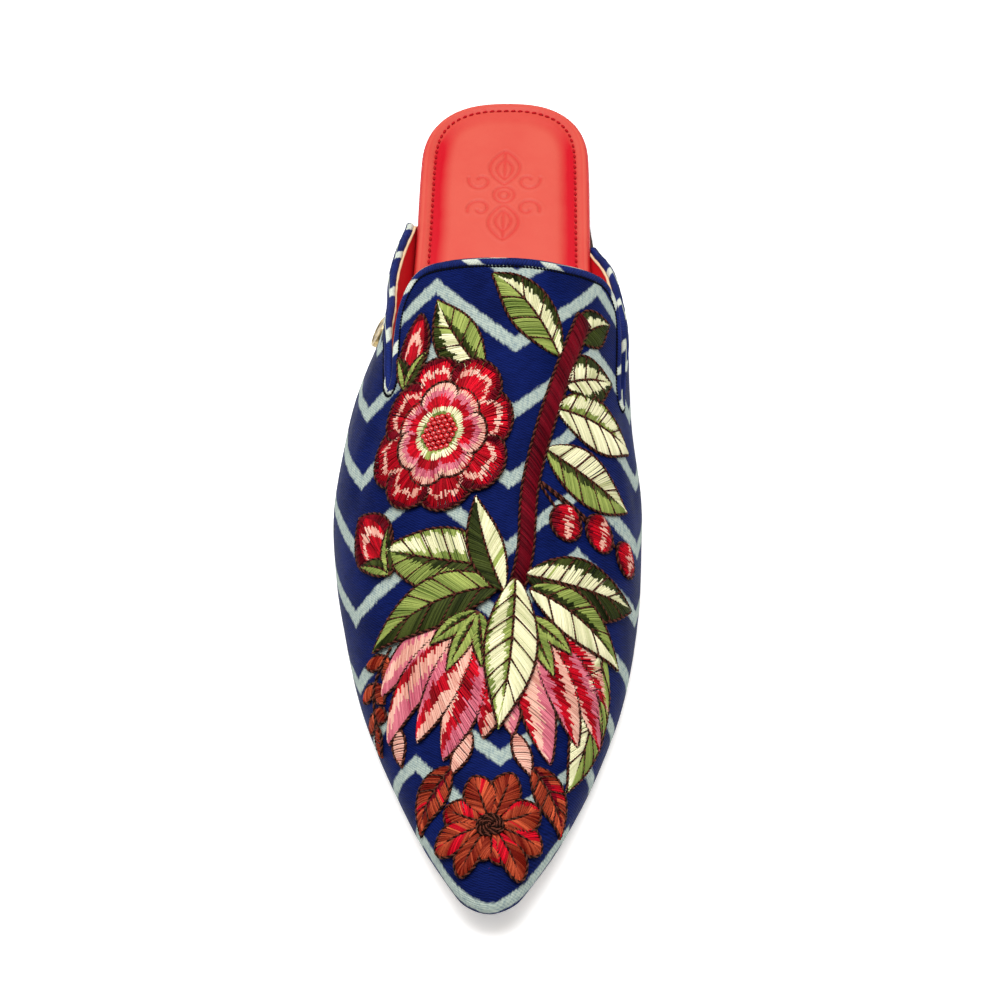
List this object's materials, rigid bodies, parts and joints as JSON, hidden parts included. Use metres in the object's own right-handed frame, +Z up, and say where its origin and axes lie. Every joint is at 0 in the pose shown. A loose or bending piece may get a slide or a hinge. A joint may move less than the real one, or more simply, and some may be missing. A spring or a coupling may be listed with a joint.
{
  "type": "flat mule",
  "caption": "Backless flat mule with a pointed toe, a high-cut vamp piped along its open edge, a low heel and a small round stud on its outer side.",
  "frame": {"origin": "centre of the footprint box, on the ground plane the heel and the tread stand on", "axes": "+Y from the toe to the heel, +X towards the inner (big toe) side, +Z up"},
  "size_m": [0.085, 0.2744, 0.0704],
  "materials": {
    "outsole": "satin dark brown",
    "heel": "stacked and stained dark",
    "insole": "coral red, semi-matte",
    "upper": "navy twill with pale chevron lines",
    "piping": "navy twill, rolled",
    "stud": "worn gold"
  },
  "bodies": {
    "root": {"outsole": "outsole", "heel": "heel", "insole": "insole", "upper": "upper", "topline_piping": "piping", "side_stud": "stud"}
  },
  "joints": []
}
